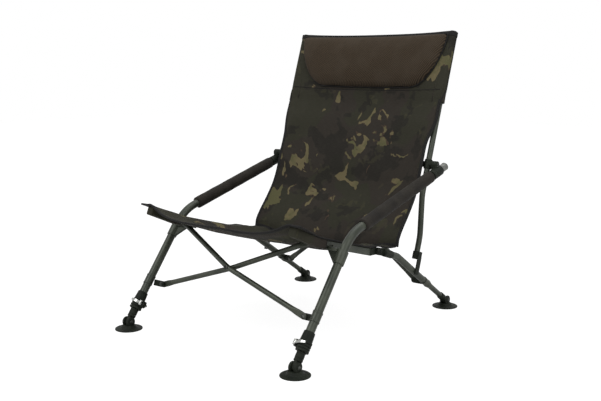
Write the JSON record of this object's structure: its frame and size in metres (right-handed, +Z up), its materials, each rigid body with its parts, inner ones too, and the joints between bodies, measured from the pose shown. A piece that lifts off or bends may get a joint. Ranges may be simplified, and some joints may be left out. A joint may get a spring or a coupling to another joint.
{
  "type": "folding camping chair",
  "caption": "Low folding outdoor chair with a cloth sling seat and back, padded headrest, foam arm grips, crossed braces, telescopic legs and swivelling disc feet",
  "frame": {"origin": "middle of the bounding box in X and Y, on the ground under the feet", "axes": "+Z up, the sitter faces -Y, +X is the sitter's left"},
  "size_m": [0.6452, 0.799, 0.7919],
  "materials": {
    "painted_tube": "satin olive grey paint",
    "moulded_plastic": "matt dark grey-green moulding",
    "bright_steel": "bright plated steel",
    "foam_sleeve": "matt dark brown foam",
    "camouflage_cloth": "woven polyester printed with a dark brown and tan camouflage",
    "mesh_cloth": "brown mesh cloth with dark edge tape"
  },
  "bodies": {
    "right_frame": {"right_leg_arm_tube": "painted_tube", "right_arm_grip": "foam_sleeve", "right_arm_end_cap": "moulded_plastic", "right_front_saddle": "painted_tube", "right_front_brace_bracket": "moulded_plastic", "right_front_clamp": "moulded_plastic", "right_front_clamp_bolt": "bright_steel", "right_arm_hub": "moulded_plastic"},
    "right_clamp_lever": {"right_front_clamp_lever": "bright_steel"},
    "right_front_lower_leg": {"right_front_inner_leg": "painted_tube", "right_front_leg_ferrule": "moulded_plastic", "right_front_foot_pin": "bright_steel"},
    "right_front_foot": {"right_front_mud_foot": "moulded_plastic"},
    "right_knuckle": {"right_rail_knuckle": "moulded_plastic"},
    "right_rail": {"right_seat_rail": "painted_tube", "right_rail_hinge_link": "moulded_plastic", "seat_panel": "camouflage_cloth"},
    "right_slider": {"right_back_slider": "moulded_plastic"},
    "right_back": {"right_back_tube": "painted_tube", "right_back_tube_boot": "moulded_plastic", "back_panel": "camouflage_cloth", "headrest_pillow": "mesh_cloth"},
    "right_rear_leg": {"right_rear_leg_tube": "painted_tube", "right_rear_leg_plug": "moulded_plastic", "right_rear_brace_bracket": "moulded_plastic"},
    "right_rear_lower_leg": {"right_rear_inner_leg": "painted_tube", "right_rear_leg_ferrule": "moulded_plastic", "right_rear_foot_pin": "bright_steel"},
    "right_rear_foot": {"right_rear_mud_foot": "moulded_plastic"},
    "left_frame": {"left_leg_arm_tube": "painted_tube", "left_arm_grip": "foam_sleeve", "left_arm_end_cap": "moulded_plastic", "left_front_saddle": "painted_tube", "left_front_brace_bracket": "moulded_plastic", "left_front_clamp": "moulded_plastic", "left_front_clamp_bolt": "bright_steel", "left_arm_hub": "moulded_plastic"},
    "left_clamp_lever": {"left_front_clamp_lever": "bright_steel"},
    "left_front_lower_leg": {"left_front_inner_leg": "painted_tube", "left_front_leg_ferrule": "moulded_plastic", "left_front_foot_pin": "bright_steel"},
    "left_front_foot": {"left_front_mud_foot": "moulded_plastic"},
    "left_knuckle": {"left_rail_knuckle": "moulded_plastic"},
    "left_rail": {"left_seat_rail": "painted_tube", "left_rail_hinge_link": "moulded_plastic"},
    "left_slider": {"left_back_slider": "moulded_plastic"},
    "left_back": {"left_back_tube": "painted_tube", "left_back_tube_boot": "moulded_plastic"},
    "left_rear_leg": {"left_rear_leg_tube": "painted_tube", "left_rear_leg_plug": "moulded_plastic", "left_rear_brace_bracket": "moulded_plastic"},
    "left_rear_lower_leg": {"left_rear_inner_leg": "painted_tube", "left_rear_leg_ferrule": "moulded_plastic", "left_rear_foot_pin": "bright_steel"},
    "left_rear_foot": {"left_rear_mud_foot": "moulded_plastic"},
    "front_brace_a": {"front_brace_a": "painted_tube"},
    "front_brace_b": {"front_brace_b": "painted_tube"},
    "rear_brace_a": {"rear_brace_a": "painted_tube"},
    "rear_brace_b": {"rear_brace_b": "painted_tube"}
  },
  "joints": [
    {"name": "frame_fold", "type": "hinge", "parent": "right_frame", "child": "front_brace_a", "pos_m": [-0.248, -0.27592, 0.11199], "axis": [0, -0.9488, 0.3158], "range_deg": [0, 57], "deforming": ["seat_panel", "back_panel", "headrest_pillow"]},
    {"name": "front_scissor", "type": "hinge", "parent": "front_brace_a", "child": "front_brace_b", "pos_m": [0, -0.25138, 0.18571], "axis": [0, -0.9488, 0.3158], "range_deg": [-114.02, 0]},
    {"name": "left_frame_pivot", "type": "hinge", "parent": "front_brace_b", "child": "left_frame", "pos_m": [0.248, -0.27592, 0.11199], "axis": [0, -0.9488, 0.3158], "range_deg": [0, 57.01]},
    {"name": "right_knuckle_pivot", "type": "hinge", "parent": "front_brace_b", "child": "right_knuckle", "pos_m": [-0.215, -0.22, 0.28], "axis": [0, -0.9488, 0.3158], "range_deg": [0, 57.01]},
    {"name": "left_knuckle_pivot", "type": "hinge", "parent": "front_brace_a", "child": "left_knuckle", "pos_m": [0.215, -0.22, 0.28], "axis": [0, -0.9488, 0.3158], "range_deg": [-57.01, 0]},
    {"name": "right_rail_hinge", "type": "hinge", "parent": "right_knuckle", "child": "right_rail", "pos_m": [-0.2415, -0.22, 0.28], "axis": [1, 0, 0], "range_deg": [-73.72, 0]},
    {"name": "right_hub", "type": "hinge", "parent": "right_frame", "child": "right_slider", "pos_m": [-0.2605, 0.24939, 0.42773], "axis": [1, 0, 0], "range_deg": [-39.34, 0]},
    {"name": "right_back_slide", "type": "slide", "parent": "right_slider", "child": "right_back", "axis": [0, 0.3206, 0.9472], "range_m": [-0.1901, 0]},
    {"name": "right_rear_leg_pivot", "type": "hinge", "parent": "right_back", "child": "right_rear_leg", "pos_m": [-0.2605, 0.18301, 0.13868], "axis": [1, 0, 0], "range_deg": [-34.67, 0]},
    {"name": "left_rail_hinge", "type": "hinge", "parent": "left_knuckle", "child": "left_rail", "pos_m": [0.2415, -0.22, 0.28], "axis": [1, 0, 0], "range_deg": [-73.72, 0]},
    {"name": "left_hub", "type": "hinge", "parent": "left_frame", "child": "left_slider", "pos_m": [0.2605, 0.24939, 0.42773], "axis": [1, 0, 0], "range_deg": [-39.34, 0]},
    {"name": "left_back_slide", "type": "slide", "parent": "left_slider", "child": "left_back", "axis": [0, 0.3206, 0.9472], "range_m": [-0.1901, 0]},
    {"name": "left_rear_leg_pivot", "type": "hinge", "parent": "left_back", "child": "left_rear_leg", "pos_m": [0.2605, 0.18301, 0.13868], "axis": [1, 0, 0], "range_deg": [-34.67, 0]},
    {"name": "rear_brace_a_pivot", "type": "hinge", "parent": "right_slider", "child": "rear_brace_a", "pos_m": [-0.224, 0.24939, 0.42773], "axis": [-0.198, 0.9768, -0.0818], "range_deg": [0, 44.95]},
    {"name": "rear_brace_b_pivot", "type": "hinge", "parent": "left_slider", "child": "rear_brace_b", "pos_m": [0.224, 0.24939, 0.42773], "axis": [-0.2246, -0.9695, 0.0983], "range_deg": [0, 45.23]},
    {"name": "right_front_leg_slide", "type": "slide", "parent": "right_frame", "child": "right_front_lower_leg", "axis": [0, -0.6093, -0.7929], "range_m": [0, 0.09]},
    {"name": "right_rear_leg_slide", "type": "slide", "parent": "right_rear_leg", "child": "right_rear_lower_leg", "axis": [0, 0.8348, -0.5505], "range_m": [0, 0.05]},
    {"name": "right_front_foot_swivel", "type": "hinge", "parent": "right_front_lower_leg", "child": "right_front_foot", "pos_m": [-0.287, -0.363, 0.02], "axis": [1, 0, 0], "range_deg": [-22, 22]},
    {"name": "right_rear_foot_swivel", "type": "hinge", "parent": "right_rear_lower_leg", "child": "right_rear_foot", "pos_m": [-0.2605, 0.363, 0.02], "axis": [1, 0, 0], "range_deg": [-14, 22]},
    {"name": "right_clamp_lever_pivot", "type": "hinge", "parent": "right_frame", "child": "right_clamp_lever", "pos_m": [-0.2662, -0.33861, 0.07062], "axis": [0, 0.6093, 0.7929], "range_deg": [0, 100]},
    {"name": "left_front_leg_slide", "type": "slide", "parent": "left_frame", "child": "left_front_lower_leg", "axis": [0, -0.6093, -0.7929], "range_m": [0, 0.09]},
    {"name": "left_rear_leg_slide", "type": "slide", "parent": "left_rear_leg", "child": "left_rear_lower_leg", "axis": [0, 0.8348, -0.5505], "range_m": [0, 0.05]},
    {"name": "left_front_foot_swivel", "type": "hinge", "parent": "left_front_lower_leg", "child": "left_front_foot", "pos_m": [0.287, -0.363, 0.02], "axis": [1, 0, 0], "range_deg": [-22, 22]},
    {"name": "left_rear_foot_swivel", "type": "hinge", "parent": "left_rear_lower_leg", "child": "left_rear_foot", "pos_m": [0.2605, 0.363, 0.02], "axis": [1, 0, 0], "range_deg": [-14, 22]},
    {"name": "left_clamp_lever_pivot", "type": "hinge", "parent": "left_frame", "child": "left_clamp_lever", "pos_m": [0.2662, -0.33861, 0.07062], "axis": [0, 0.6093, 0.7929], "range_deg": [-100, 0]}
  ],
  "couplings": [
    {"joint": "front_scissor", "follows": "frame_fold", "ratio": -2},
    {"joint": "left_frame_pivot", "follows": "frame_fold", "ratio": 1},
    {"joint": "right_knuckle_pivot", "follows": "frame_fold", "ratio": 1},
    {"joint": "left_knuckle_pivot", "follows": "frame_fold", "ratio": -1},
    {"joint": "right_rail_hinge", "follows": "frame_fold", "ratio": -1.2932},
    {"joint": "right_hub", "follows": "frame_fold", "ratio": -0.69001},
    {"joint": "right_back_slide", "follows": "frame_fold", "m_per_rad": -0.19099},
    {"joint": "right_rear_leg_pivot", "follows": "frame_fold", "ratio": -0.60812},
    {"joint": "left_rail_hinge", "follows": "frame_fold", "ratio": -1.2932},
    {"joint": "left_hub", "follows": "frame_fold", "ratio": -0.69001},
    {"joint": "left_back_slide", "follows": "frame_fold", "m_per_rad": -0.19099},
    {"joint": "left_rear_leg_pivot", "follows": "frame_fold", "ratio": -0.60812},
    {"joint": "rear_brace_a_pivot", "follows": "frame_fold", "ratio": 0.78835},
    {"joint": "rear_brace_b_pivot", "follows": "frame_fold", "ratio": 0.79325}
  ]
}
